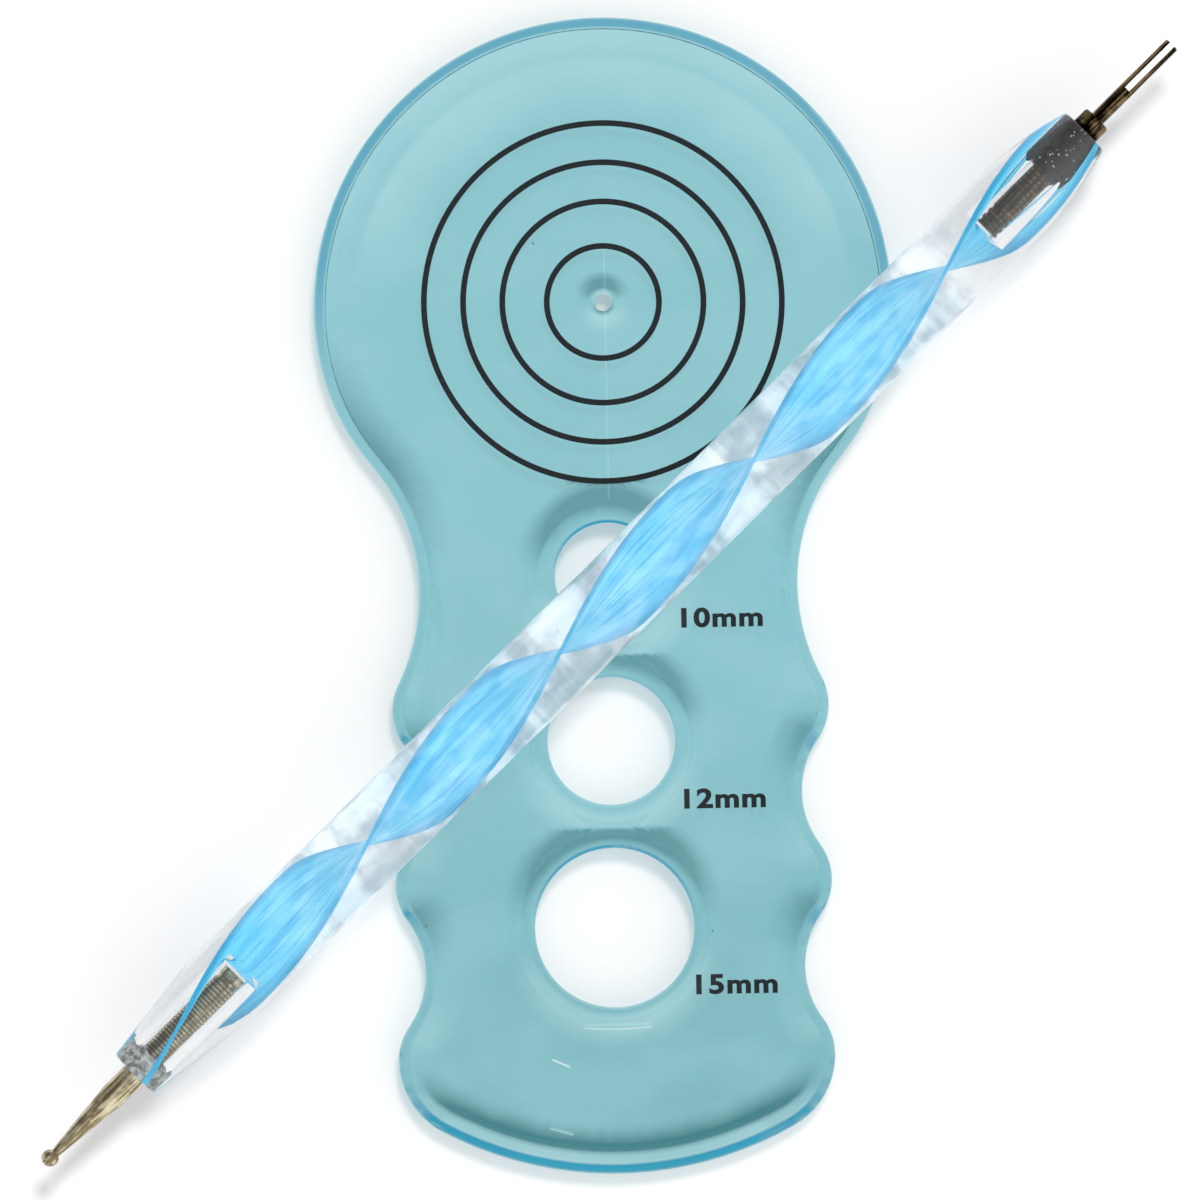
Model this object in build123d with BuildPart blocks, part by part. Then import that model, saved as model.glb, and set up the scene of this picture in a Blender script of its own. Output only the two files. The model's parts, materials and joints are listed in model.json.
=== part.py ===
from build123d import *
from math import atan2, cos, degrees, radians, sin, tan
import os

# A quilling tool in two loose pieces: a clear moulded plate with a pin hole, printed rings
# and three sizing holes, and a double-ended pen that lies across it.
# Millimetres. The origin is on the pin hole's axis, in the plate's underside.
# +Y runs along the plate to the top of its round head, and +Z points up.

# Plate, outline. Each y is measured from the pin hole.
head_r = 27.3
head_drop = 0.45
shoulder_r = 22.0
shoulder_angle = 5.0
neck_half_width = 17.87
neck_y = -27.0
grip_half_width = 20.6
grip_r = 5.7
hollow_half_width = 17.93
first_grip_y = -38.3
grip_pitch = 16.5
grip_count = 3
foot_y = -82.3
foot_corner_r = 7.7

# Plate, section. A thin floor lies inside a raised rim, joined to it by a hollow cove.
plate_height = 3.5
floor_height = 2.0
rim_lip = 1.0
cove_run = 3.8
cove_fillet_share = 0.96
top_edge_r = 0.8
base_bevel = 0.35

# Plate, sizing holes. Each stands in a boss with a flat lip and a cove of its own.
hole_diameters = (10.0, 12.0, 15.0)
hole_ys = (-25.9, -41.45, -59.05)
boss_lips = (1.5, 1.3, 1.0)
boss_cove_run = 3.0
hole_edge_r = 0.45
hole_bevel = 0.3

# Plate, pin hole. Its boss is lower than the others.
pin_hole_r = 0.85
pin_boss_lip = 0.5
pin_boss_height = 0.7
pin_cove_run = 1.7
pin_edge = 0.15

# Rings printed round the pin hole, keyed into the floor by a share of their thickness.
ring_radii = (5.3, 9.5, 13.2, 16.9)
ring_width = 0.55
ink_thickness = 0.1
ink_depth_share = 0.5

# Pen, where it lies. It rests across the plate's rim.
pen_angle = 43.7
pen_middle_x = 0.1
pen_middle_y = -28.4
rest_gap = 0.15

# Pen, clear handle. Along the pen, x is measured from the handle's stylus end.
handle_length = 126.0
handle_r = 4.0
bore_r = 1.65
stylus_face_wall = 0.95
stylus_taper = 11.0
needle_face_wall = 0.85
needle_taper = 9.8
face_edge_r = 0.35
stylus_bore = 13.7
stylus_drill_point = 1.4
needle_bore = 13.4
needle_drill_point = 0.9

# Pen, ribbon. It is cast into the handle and twisted to the left along its whole length.
ribbon_width = 4.9
ribbon_thickness = 0.3
half_turn = 25.6
ribbon_upright_x = 5.3
ribbon_cover = 0.15
ribbon_stretches = 5

# Pen, ball stylus.
stylus_r = 1.225
stylus_seat = 13.4
stylus_stem = 2.8
stylus_reach = 11.2
stylus_tip_r = 0.42
stylus_groove_x = 12.3
stylus_groove_width = 0.5
stylus_groove_depth = 0.12
ball_r = 0.825
ball_socket = 0.4
stylus_glue_length = 2.5

# Pen, slotted needle. Its thinner tang is pressed into a holder, up to a shoulder at the collar.
holder_r = 1.2
holder_seat = 13.1
holder_groove_x = 0.45
holder_groove_pitch = 0.75
holder_groove_width = 0.35
holder_groove_depth = 0.12
holder_groove_count = 3
collar_step = 0.23
collar_length = 1.7
collar_edge_r = 0.3
needle_r = 0.725
tang_r = 0.55
tang_length = 8.0
needle_reach = 11.6
needle_edge = 0.1
slot_length = 6.0
slot_width = 0.57
needle_glue_length = 5.4

# How far a cut runs past what it cuts.
overrun = 1.0

os.makedirs("parts", exist_ok=True)


def unit(angle):
    """Direction in the floor plane, at an angle in degrees from +X."""
    return Vector(cos(radians(angle)), sin(radians(angle)))


# Outline of the plate: one half, from the top of the head to the foot, then mirrored.
# The neck's round is tangent to the shoulder and to the narrowest point of the neck.
head_centre = Vector(0, -head_drop)
shoulder_centre = head_centre + unit(-shoulder_angle) * (head_r - shoulder_r)
neck_point = Vector(neck_half_width, neck_y)
to_neck = neck_point - shoulder_centre
neck_r = (to_neck.length**2 - shoulder_r**2) / (2 * (shoulder_r - to_neck.X))
neck_centre = neck_point + Vector(neck_r, 0)
from_neck = shoulder_centre - neck_centre
neck_angle = degrees(atan2(from_neck.Y, -from_neck.X))

grips = []
for index in range(grip_count):
    grips.append(Vector(grip_half_width, first_grip_y - index * grip_pitch))
hollows = [neck_point]
for grip in grips[1:]:
    hollows.append(Vector(hollow_half_width, grip.Y + grip_pitch / 2))

# The foot's wide arc is tangent to the corner's arc inside it.
corner_centre = grips[-1] - Vector(foot_corner_r, 0)
foot_depth = corner_centre.Y - foot_y
foot_r = (corner_centre.X**2 + foot_depth**2 - foot_corner_r**2) / (2 * (foot_depth - foot_corner_r))
foot_centre = Vector(0, foot_y + foot_r)
foot_point = foot_centre + (corner_centre - foot_centre).normalized() * foot_r


def turning_point(grip, hollow):
    """Where a grip's round meets the round of the hollow beside it, tangent to both."""
    step = hollow - grip
    both_radii = step.length**2 / (2 * abs(step.X))
    return grip + step * (grip_r / both_radii)


with BuildSketch() as outline:
    with BuildLine():
        CenterArc(head_centre, head_r, 90, -90 - shoulder_angle)
        CenterArc(shoulder_centre, shoulder_r, -shoulder_angle, shoulder_angle - neck_angle)
        CenterArc(neck_centre, neck_r, 180 - neck_angle, neck_angle)
        for grip, hollow in zip(grips, hollows):
            TangentArc(hollow, turning_point(grip, hollow), tangent=(0, -1))
            TangentArc(grip, turning_point(grip, hollow), tangent=(0, 1))
        for grip, hollow in zip(grips, hollows[1:]):
            TangentArc(grip, turning_point(grip, hollow), tangent=(0, -1))
            TangentArc(hollow, turning_point(grip, hollow), tangent=(0, 1))
        TangentArc(grips[-1], foot_point, tangent=(0, -1))
        TangentArc((0, foot_y), foot_point, tangent=(1, 0))
        mirror(about=Plane.YZ)
    make_face()

# The cove is a slanted wall whose foot has a fillet that takes up nearly all of it.
cove_depth = plate_height - floor_height
cove_r = (cove_run**2 + cove_depth**2) / (2 * cove_depth)
cove_slope = atan2(cove_run, cove_r - cove_depth)
wall_taper = 90 - degrees(cove_slope)


def upright(axis_y):
    """Plane through a hole's axis, with x across the plate and y up."""
    return Plane((0, axis_y, 0), x_dir=(1, 0, 0), z_dir=(0, -1, 0))


def boss_section(axis_y, lip_r, top, run):
    """Half section of a boss round a hole, whose hollow flank dies into the floor."""
    with BuildSketch(upright(axis_y)) as section:
        with BuildLine():
            TangentArc((lip_r + run, floor_height), (lip_r, top), tangent=(-1, 0))
            Polyline((lip_r, top), (0, top), (0, base_bevel), (lip_r + run, base_bevel))
            Line((lip_r + run, base_bevel), (lip_r + run, floor_height))
        make_face()
    return section.sketch


def hole_section(axis_y, hole_r):
    """Half section of what a sizing hole takes away: its top mouth is rounded, the other bevelled."""
    top_r = hole_r + hole_edge_r
    base_r = hole_r + hole_bevel
    with BuildSketch(upright(axis_y)) as section:
        with BuildLine():
            Polyline((hole_r, hole_bevel), (base_r, 0), (base_r, -overrun), (0, -overrun))
            Polyline((0, -overrun), (0, plate_height + overrun), (top_r, plate_height + overrun))
            Line((top_r, plate_height + overrun), (top_r, plate_height))
            TangentArc((hole_r, plate_height - hole_edge_r), (top_r, plate_height), tangent=(0, 1))
            Line((hole_r, plate_height - hole_edge_r), (hole_r, hole_bevel))
        make_face()
    return section.sketch


ink_floor = floor_height - ink_depth_share * ink_thickness
with BuildSketch(Plane.XY.offset(ink_floor)) as ring_faces:
    for radius in sorted(ring_radii, reverse=True):
        Circle(radius + ring_width / 2)
        Circle(radius - ring_width / 2, mode=Mode.SUBTRACT)

with BuildPart() as sizing_plate:
    add(outline.sketch)
    extrude(amount=plate_height)
    with BuildSketch(Plane.XY.offset(plate_height)):
        add(outline.sketch)
        offset(amount=-rim_lip)
    extrude(amount=-cove_depth, taper=wall_taper, mode=Mode.SUBTRACT)
    floor_face = sizing_plate.faces().filter_by(Plane.XY).sort_by(Axis.Z)[1]
    fillet(floor_face.edges(), cove_r * cove_fillet_share)
    fillet(sizing_plate.faces().sort_by(Axis.Z)[-1].outer_wire().edges(), top_edge_r)
    chamfer(sizing_plate.faces().sort_by(Axis.Z)[0].edges(), base_bevel)

    # The pin hole's boss, then the three sizing holes', with their holes through them.
    pin_boss_top = floor_height + pin_boss_height
    revolve(boss_section(0, pin_hole_r + pin_boss_lip, pin_boss_top, pin_cove_run), axis=Axis.Z)
    for hole_y, diameter, lip in zip(hole_ys, hole_diameters, boss_lips):
        boss = boss_section(hole_y, diameter / 2 + lip, plate_height, boss_cove_run)
        revolve(boss, axis=Axis((0, hole_y, 0), (0, 0, 1)))
    with Locations((0, 0, pin_boss_top)):
        CounterSinkHole(pin_hole_r, pin_hole_r + pin_edge, counter_sink_angle=90)
    for hole_y, diameter in zip(hole_ys, hole_diameters):
        revolve(
            hole_section(hole_y, diameter / 2),
            axis=Axis((0, hole_y, 0), (0, 0, 1)),
            mode=Mode.SUBTRACT,
        )
    extrude(ring_faces.sketch, amount=plate_height, mode=Mode.SUBTRACT)
sizing_plate.part.label = "sizing_plate"

with BuildPart() as size_rings:
    extrude(ring_faces.sketch, amount=ink_thickness)
size_rings.part.label = "size_rings"

# Pen. Its pieces are turned about one axis, from sections in the upright plane through it.
pen_along = unit(pen_angle)
pen_left = unit(pen_angle + 90)
pen_height = plate_height + rest_gap + handle_r
pen_start = Vector(pen_middle_x, pen_middle_y, pen_height) - pen_along * (handle_length / 2)
pen_axis = Axis(pen_start, pen_along)
pen_side = Plane(pen_start, x_dir=pen_along, z_dir=-pen_left)
pen_end_on = Plane(pen_start, x_dir=pen_left, z_dir=pen_along)
stylus_face_r = bore_r + stylus_face_wall
needle_face_r = bore_r + needle_face_wall
taper_end = handle_length - needle_taper

with BuildSketch(pen_side) as rod:
    with BuildLine():
        Polyline((0, 0), (0, stylus_face_r), (stylus_taper, handle_r), (taper_end, handle_r))
        TangentArc((taper_end, handle_r), (handle_length, needle_face_r), tangent=(1, 0))
        Polyline((handle_length, needle_face_r), (handle_length, 0), (0, 0))
    make_face()
    corners = rod.vertices().sort_by_distance((0, stylus_face_r))[:1]
    corners += rod.vertices().sort_by_distance((handle_length, needle_face_r))[:1]
    fillet(corners, face_edge_r)


def bore_section(mouth_x, end_x, point_x):
    """Half section of a drilled bore: its wall, and the cone that the drill leaves."""
    with BuildSketch(pen_side) as section:
        with BuildLine():
            Polyline((mouth_x, 0), (mouth_x, bore_r), (end_x, bore_r), (point_x, 0), (mouth_x, 0))
        make_face()
    return section.sketch


needle_bore_x = handle_length - needle_bore
bores = [
    bore_section(0, stylus_bore, stylus_bore + stylus_drill_point),
    bore_section(handle_length, needle_bore_x, needle_bore_x - needle_drill_point),
]

# The ribbon stays under a skin of clear plastic, and the bores cut its middle away.
with BuildSketch(pen_side) as ribbon_limit:
    ribbon_r = handle_r - ribbon_cover
    stylus_limit = stylus_face_r - face_edge_r - ribbon_cover
    needle_limit = needle_face_r - face_edge_r - ribbon_cover
    with BuildLine():
        Polyline((0, 0), (0, stylus_limit), (stylus_taper, ribbon_r), (taper_end, ribbon_r))
        TangentArc((taper_end, ribbon_r), (handle_length, needle_limit), tangent=(1, 0))
        Polyline((handle_length, needle_limit), (handle_length, 0), (0, 0))
    make_face()

with BuildPart() as ribbon_blank:
    stretch = handle_length / ribbon_stretches
    for index in range(ribbon_stretches):
        start_x = index * stretch
        start = pen_start + pen_along * start_x
        start_angle = 180 * (ribbon_upright_x - start_x) / half_turn
        with BuildLine() as spine:
            Line(start, start + pen_along * stretch)
        with BuildLine() as guide:
            Helix(2 * half_turn, stretch, handle_r, start, pen_along, lefthand=True)
        with BuildSketch(pen_end_on.offset(start_x)):
            Rectangle(ribbon_thickness, ribbon_width, rotation=start_angle)
        sweep(path=spine.line, binormal=guide.edges()[0])
    revolve(ribbon_limit.sketch, axis=pen_axis, mode=Mode.INTERSECT)

with BuildPart() as ribbon:
    add(ribbon_blank.part)
    for bore in bores:
        revolve(bore, axis=pen_axis, mode=Mode.SUBTRACT)
ribbon.part.label = "ribbon"

with BuildPart() as handle:
    revolve(rod.sketch, axis=pen_axis)
    add(ribbon_blank.part, mode=Mode.SUBTRACT)
    for bore in bores:
        revolve(bore, axis=pen_axis, mode=Mode.SUBTRACT)
handle.part.label = "handle"

# Stylus: a turned shank that tapers to a ball. The shank's tip sits in the ball's socket.
with BuildPart() as stylus_shank:
    tip_x = ball_r - ball_socket - stylus_reach
    with BuildSketch(pen_side):
        with BuildLine():
            Polyline(
                (tip_x - ball_socket, 0),
                (tip_x - ball_socket, stylus_tip_r),
                (tip_x, stylus_tip_r),
                (-stylus_stem, stylus_r),
                (stylus_seat, stylus_r),
                (stylus_seat, 0),
                (tip_x - ball_socket, 0),
            )
        make_face()
        with Locations((stylus_groove_x, stylus_r)):
            Rectangle(stylus_groove_width, 2 * stylus_groove_depth, mode=Mode.SUBTRACT)
    revolve(axis=pen_axis)
stylus_shank.part.label = "stylus_shank"

with BuildPart() as stylus_ball:
    with Locations(pen_start - pen_along * stylus_reach):
        Sphere(ball_r)
    add(stylus_shank.part, mode=Mode.SUBTRACT)
stylus_ball.part.label = "stylus_ball"

with BuildPart() as stylus_glue:
    with BuildSketch(pen_end_on):
        Circle(bore_r)
        Circle(stylus_r, mode=Mode.SUBTRACT)
    extrude(amount=stylus_glue_length)
stylus_glue.part.label = "stylus_glue"

# Needle: a slotted rod pressed into the holder, whose collar stands clear of the handle.
holder_start = handle_length - holder_seat
collar_end = handle_length + collar_length
tang_start = collar_end - tang_length
needle_end = handle_length + needle_reach

with BuildPart() as needle_holder:
    with BuildSketch(pen_side):
        with Locations((holder_start, 0)):
            Rectangle(holder_seat, holder_r, align=Align.MIN)
        with Locations((handle_length, 0)):
            Rectangle(collar_length, holder_r + collar_step, align=Align.MIN)
        with Locations((tang_start, 0)):
            Rectangle(tang_length, tang_r, align=Align.MIN, mode=Mode.SUBTRACT)
        for index in range(holder_groove_count):
            groove_x = holder_start + holder_groove_x + index * holder_groove_pitch
            with Locations((groove_x, holder_r)):
                Rectangle(holder_groove_width, 2 * holder_groove_depth, mode=Mode.SUBTRACT)
    revolve(axis=pen_axis)
    collar_rims = needle_holder.edges().filter_by(GeomType.CIRCLE).sort_by(SortBy.RADIUS)[-2:]
    fillet(collar_rims.sort_by(pen_axis)[-1], collar_edge_r)
needle_holder.part.label = "needle_holder"

with BuildPart() as slotted_needle:
    with BuildSketch(pen_side):
        with Locations((tang_start, 0)):
            Rectangle(tang_length, tang_r, align=Align.MIN)
        with Locations((collar_end, 0)):
            Rectangle(needle_end - collar_end, needle_r, align=Align.MIN)
    revolve(axis=pen_axis)
    chamfer(slotted_needle.edges().filter_by(GeomType.CIRCLE).sort_by(pen_axis)[-1], needle_edge)
    with BuildSketch(pen_side):
        with Locations((needle_end - slot_length, 0)):
            Rectangle(slot_length + overrun, 2 * handle_r, align=(Align.MIN, Align.CENTER))
    extrude(amount=slot_width / 2, both=True, mode=Mode.SUBTRACT)
slotted_needle.part.label = "slotted_needle"

with BuildPart() as needle_glue:
    with BuildSketch(pen_end_on.offset(handle_length - needle_glue_length)):
        Circle(bore_r)
        Circle(holder_r, mode=Mode.SUBTRACT)
    extrude(amount=needle_glue_length)
needle_glue.part.label = "needle_glue"

export_step(sizing_plate.part, "parts/sizing_plate.step")
export_step(size_rings.part, "parts/size_rings.step")
export_step(handle.part, "parts/handle.step")
export_step(ribbon.part, "parts/ribbon.step")
export_step(stylus_shank.part, "parts/stylus_shank.step")
export_step(stylus_ball.part, "parts/stylus_ball.step")
export_step(stylus_glue.part, "parts/stylus_glue.step")
export_step(needle_holder.part, "parts/needle_holder.step")
export_step(slotted_needle.part, "parts/slotted_needle.step")
export_step(needle_glue.part, "parts/needle_glue.step")
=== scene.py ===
# %% [markdown]
# # A quilling tool: curling plate and double-ended pen
#
# Quilling is the craft of rolling narrow strips of paper into coils. The tool here comes as
# two loose pieces. A clear teal plate has a pin hole in a set of printed rings, and three
# holes that size a finished coil. A pen lies across it, with a slotted needle at one end to
# wind the paper on, and a ball stylus at the other end to dome a coil.
#
# Nearly all of it is clear plastic, so this lesson is mostly about what light does in plastic:
# what gives a clear moulding its colour, how a rod works as a lens, and how a little haze
# keeps it from looking like glass.

import json
import math

import bmesh
import bpy
from mathutils import Matrix, Vector, noise
from mathutils.bvhtree import BVHTree
from mathutils.kdtree import KDTree


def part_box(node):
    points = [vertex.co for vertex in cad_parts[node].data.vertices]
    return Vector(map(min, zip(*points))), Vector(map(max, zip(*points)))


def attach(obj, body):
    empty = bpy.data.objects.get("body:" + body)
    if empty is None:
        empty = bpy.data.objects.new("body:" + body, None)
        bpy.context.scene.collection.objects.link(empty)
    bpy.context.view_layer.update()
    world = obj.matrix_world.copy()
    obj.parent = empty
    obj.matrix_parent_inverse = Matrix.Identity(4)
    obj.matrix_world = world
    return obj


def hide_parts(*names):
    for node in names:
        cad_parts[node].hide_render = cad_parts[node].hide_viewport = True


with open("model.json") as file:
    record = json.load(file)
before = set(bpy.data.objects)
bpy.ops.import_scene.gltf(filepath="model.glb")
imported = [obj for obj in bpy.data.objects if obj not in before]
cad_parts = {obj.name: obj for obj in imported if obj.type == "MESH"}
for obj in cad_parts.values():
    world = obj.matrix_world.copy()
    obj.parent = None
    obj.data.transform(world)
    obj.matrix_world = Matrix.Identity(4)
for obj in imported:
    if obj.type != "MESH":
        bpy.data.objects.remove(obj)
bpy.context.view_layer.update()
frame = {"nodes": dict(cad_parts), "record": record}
mm = 0.001
print("nodes:", ", ".join(sorted(frame["nodes"])))

# %% [markdown]
# ## Where the pen lies
#
# The plate stands square in the frame, but the pen crosses it at an angle. Every piece of the
# pen is round about one axis, so the easiest way to make such a piece is to draw it in the
# pen's own frame, with x along the pen from the handle's stylus end, and to place the finished
# mesh once. The frame gives all that this needs: the needle's mount has the pen's direction,
# and the ball's box has a point on the axis.

# %% Find the pen's axis
def middle(node):
    """Middle of a node's box."""
    low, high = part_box(node)
    return (low + high) / 2


mounts = {mount["name"]: mount for mount in frame["record"]["mounts"]}
pen_along = Vector(mounts["needle"]["axis"]).normalized()
pen_turn = math.atan2(pen_along.y, pen_along.x)
stylus_reach = 11.2
pen_start = middle("stylus_ball") + pen_along * stylus_reach * mm
pen_place = Matrix.Translation(pen_start) @ Matrix.Rotation(pen_turn, 4, "Z") @ Matrix.Scale(mm, 4)
print(f"pen turned by {math.degrees(pen_turn):.2f} degrees")
print("pen starts at", [round(v / mm, 2) for v in pen_start], "mm")

# %% [markdown]
# ## Node sums written as Python
#
# Both a procedural finish and a procedural shape are mostly arithmetic. Adding Math nodes by
# hand hides that arithmetic, so one small class wraps an output socket and lets Python's own
# operators add the nodes. Everything else goes through one method that makes any node from its
# type, its settings and what its sockets hold. It serves shader and geometry trees alike.

# %% Make a wire that can be added and multiplied
class Wire:
    """An output socket that takes part in sums."""

    def __init__(self, tree, socket):
        self.tree = tree
        self.socket = socket

    def __add__(self, other):
        return self.tree.math("ADD", self, other)

    def __radd__(self, other):
        return self.tree.math("ADD", other, self)

    def __sub__(self, other):
        return self.tree.math("SUBTRACT", self, other)

    def __rsub__(self, other):
        return self.tree.math("SUBTRACT", other, self)

    def __mul__(self, other):
        return self.tree.math("MULTIPLY", self, other)

    def __rmul__(self, other):
        return self.tree.math("MULTIPLY", other, self)

    def __truediv__(self, other):
        return self.tree.math("DIVIDE", self, other)

    def __abs__(self):
        return self.tree.math("ABSOLUTE", self)


print("wires add, subtract, multiply and divide")

# %% Make a tree that takes any node
class Tree:
    """A node tree while its nodes are being put together."""

    def __init__(self, tree):
        self.tree = tree
        self.tree.nodes.clear()

    def node(self, kind, settings=None, sockets=None, output=0):
        """Adds a node: settings first, then the values or wires of its sockets."""
        made = self.tree.nodes.new(kind)
        for name, value in (settings or {}).items():
            setattr(made, name, value)
        for key, value in (sockets or {}).items():
            if isinstance(value, Wire):
                self.tree.links.new(value.socket, made.inputs[key])
            else:
                made.inputs[key].default_value = value
        return Wire(self, made.outputs[output])

    def math(self, operation, first, second=0.0):
        """A Math node's result."""
        return self.node("ShaderNodeMath", {"operation": operation}, {0: first, 1: second})

    def parts(self, vector):
        """The x, y and z of a vector."""
        return [self.node("ShaderNodeSeparateXYZ", {}, {0: vector}, axis) for axis in range(3)]

    def joined(self, x, y, z):
        """A vector from its three parts."""
        return self.node("ShaderNodeCombineXYZ", {}, {0: x, 1: y, 2: z})

    def band(self, value, low, high, start=0.0, end=1.0):
        """Runs smoothly from start to end as value goes from low to high."""
        sockets = {0: value, 1: low, 2: high, 3: start, 4: end}
        return self.node("ShaderNodeMapRange", {"interpolation_type": "SMOOTHSTEP"}, sockets)


print("trees take any node")

# %% [markdown]
# ## What a finish needs
#
# A finish starts from a place in the piece, in millimetres, so that the size of a pattern can
# be written as a real size. Noise, colour mixes and bumps then each take one line.

# %% Make a finish
class Finish(Tree):
    """A material, or the world, with the few things that its patterns are made of."""

    def __init__(self, holder):
        holder.use_nodes = True
        super().__init__(holder.node_tree)
        self.holder = holder

    def place(self, matrix):
        """Object coordinates in mm, seen from a piece's own frame."""
        where = self.node("ShaderNodeTexCoord", {}, {}, 3)
        sockets = {
            "Vector": where,
            "Location": matrix.translation,
            "Rotation": matrix.to_euler(),
            "Scale": (mm, mm, mm),
        }
        return self.node("ShaderNodeMapping", {"vector_type": "TEXTURE"}, sockets)

    def mask(self, name):
        """The red, green and blue of a mask that was painted on the mesh."""
        return self.parts(self.node("ShaderNodeAttribute", {"attribute_name": name}, {}, 1))

    def noise(self, where, size, detail=3):
        """Cloudy noise between 0 and 1, whose patches are about size mm across."""
        sockets = {"Vector": where, "Scale": 1 / size, "Detail": detail}
        return self.node("ShaderNodeTexNoise", {}, sockets)

    def stretched(self, where, factors):
        """The same place with each direction scaled."""
        return self.node("ShaderNodeVectorMath", {"operation": "MULTIPLY"}, {0: where, 1: factors})

    def mix(self, share, first, second):
        """Colour between first and second."""
        sockets = {0: share, 6: first, 7: second}
        return self.node("ShaderNodeMix", {"data_type": "RGBA", "clamp_factor": True}, sockets, 2)

    def principled(self, sockets):
        """A Principled shader."""
        return self.node("ShaderNodeBsdfPrincipled", {}, sockets)

    def blend(self, share, first, second):
        """A shader between first and second."""
        return self.node("ShaderNodeMixShader", {}, {0: share, 1: first, 2: second})

    def ray(self, kind):
        """1 for rays of one kind, such as Camera, and 0 for others."""
        return self.node("ShaderNodeLightPath", {}, {}, f"Is {kind} Ray")

    def bump(self, height, depth, strength=1.0):
        """A normal bent by a height between 0 and 1 that stands for depth mm."""
        sockets = {"Height": height, "Distance": depth * mm, "Strength": strength}
        return self.node("ShaderNodeBump", {}, sockets)

    def surface(self, shader, volume=None):
        """Joins the finished shader to the output."""
        kind = "OutputWorld" if isinstance(self.holder, bpy.types.World) else "OutputMaterial"
        out = self.tree.nodes.new("ShaderNode" + kind)
        self.tree.links.new(shader.socket, out.inputs["Surface"])
        if volume:
            self.tree.links.new(volume.socket, out.inputs["Volume"])
        return self.holder


def tone(red, green, blue):
    """A colour from screen values between 0 and 255, as the linear light that a shader takes."""
    linear = []
    for level in (red, green, blue):
        share = level / 255
        linear.append(share / 12.92 if share < 0.04 else ((share + 0.055) / 1.055) ** 2.4)
    return (*linear, 1)


print("finishes are ready")

# %% [markdown]
# ## Clear teal plastic
#
# A tinted clear plastic isn't painted: light loses red on its way through. An absorbing volume
# gives that from the mesh itself, but it makes a rim far deeper than a floor, and on the real
# moulding the rim is as pale as the floor. So most of the tint sits in the surface, and the
# volume only adds the blue that gathers where light runs along inside an edge.
#
# The slopes of the dish steer light too, and here that light is painted into the colour. Those
# that face the foot get a painted highlight, those that face the head a painted shade, and the
# rounded edges painted blue light. These three masks are painted on the mesh later, corner by
# corner, and are only read here.
#
#
# Clear pieces would cast a black shadow, because a render follows shadow rays straight on and
# a refracting surface blocks them. For those rays alone the surface is a tinted filter.

# %% Make the shadow filter
def clear(finish, shader, shade, volume):
    """A clear shader whose shadow is only as deep as shade."""
    tinted = finish.node("ShaderNodeBsdfTransparent", {}, {"Color": (*shade, 1)})
    return finish.surface(finish.blend(finish.ray("Shadow"), shader, tinted), volume)


acrylic_index = 1.49
print("index of the clear plastics:", acrylic_index)

# %% [markdown]
# ## Marks of the moulding
#
# Plastic flows round the core that leaves the pin hole, and where it meets again there is a
# fine line, the weld. The foot has a few scratches. Each mark is a straight stroke: one
# distance along it, one across it, and a mask from the two.

# %% Draw a stroke
def stroke(finish, where, start, end, width):
    """A mask that is 1 on a straight stroke between two points of the plate."""
    x, y, _ = finish.parts(where)
    length = math.dist(start, end)
    cosine = (end[0] - start[0]) / length
    sine = (end[1] - start[1]) / length
    along = (x - start[0]) * cosine + (y - start[1]) * sine
    across = abs((y - start[1]) * cosine - (x - start[0]) * sine)
    ends = finish.band(along, 0.0, width) * finish.band(along, length - width, length, 1.0, 0.0)
    return ends * finish.band(across, width * 0.3, width * 0.6, 1.0, 0.0)


weld_line = ((0.2, -18.6), (0.2, 5.8), 0.16)
foot_scratches = [
    ((-6.2, -71.4), (-4.4, -72.2), 0.2),
    ((-3.1, -68.2), (3.4, -68.2), 0.22),
    ((-6.5, -77.9), (-4.2, -78.6), 0.16),
]
weld_share = 0.14
scratch_share = 0.7
print("strokes:", 1 + len(foot_scratches))

# %% Make the plate's plastic
speck_spacing = 9.0
# A faint teal glow over the plate is painted light, not a lamp.
painted_plate_glow = 0.04
painted_plate_glow_colour = (0.1, 0.6, 0.7, 1)
edge_colour = (0.1, 0.72, 0.86, 1)
edge_density = 40.0
plate_shade = (0.62, 0.7, 0.72)
plate_head = tone(158, 208, 214)
plate_foot = tone(144, 194, 199)
plate_pale = tone(174, 219, 224)
plate_painted_shade = tone(28, 86, 90)
plate_painted_highlight = tone(250, 255, 255)
plate_white = tone(255, 255, 255)
plate_painted_edge_blue = tone(0, 128, 178)
plate_speck = tone(40, 90, 100)


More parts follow.
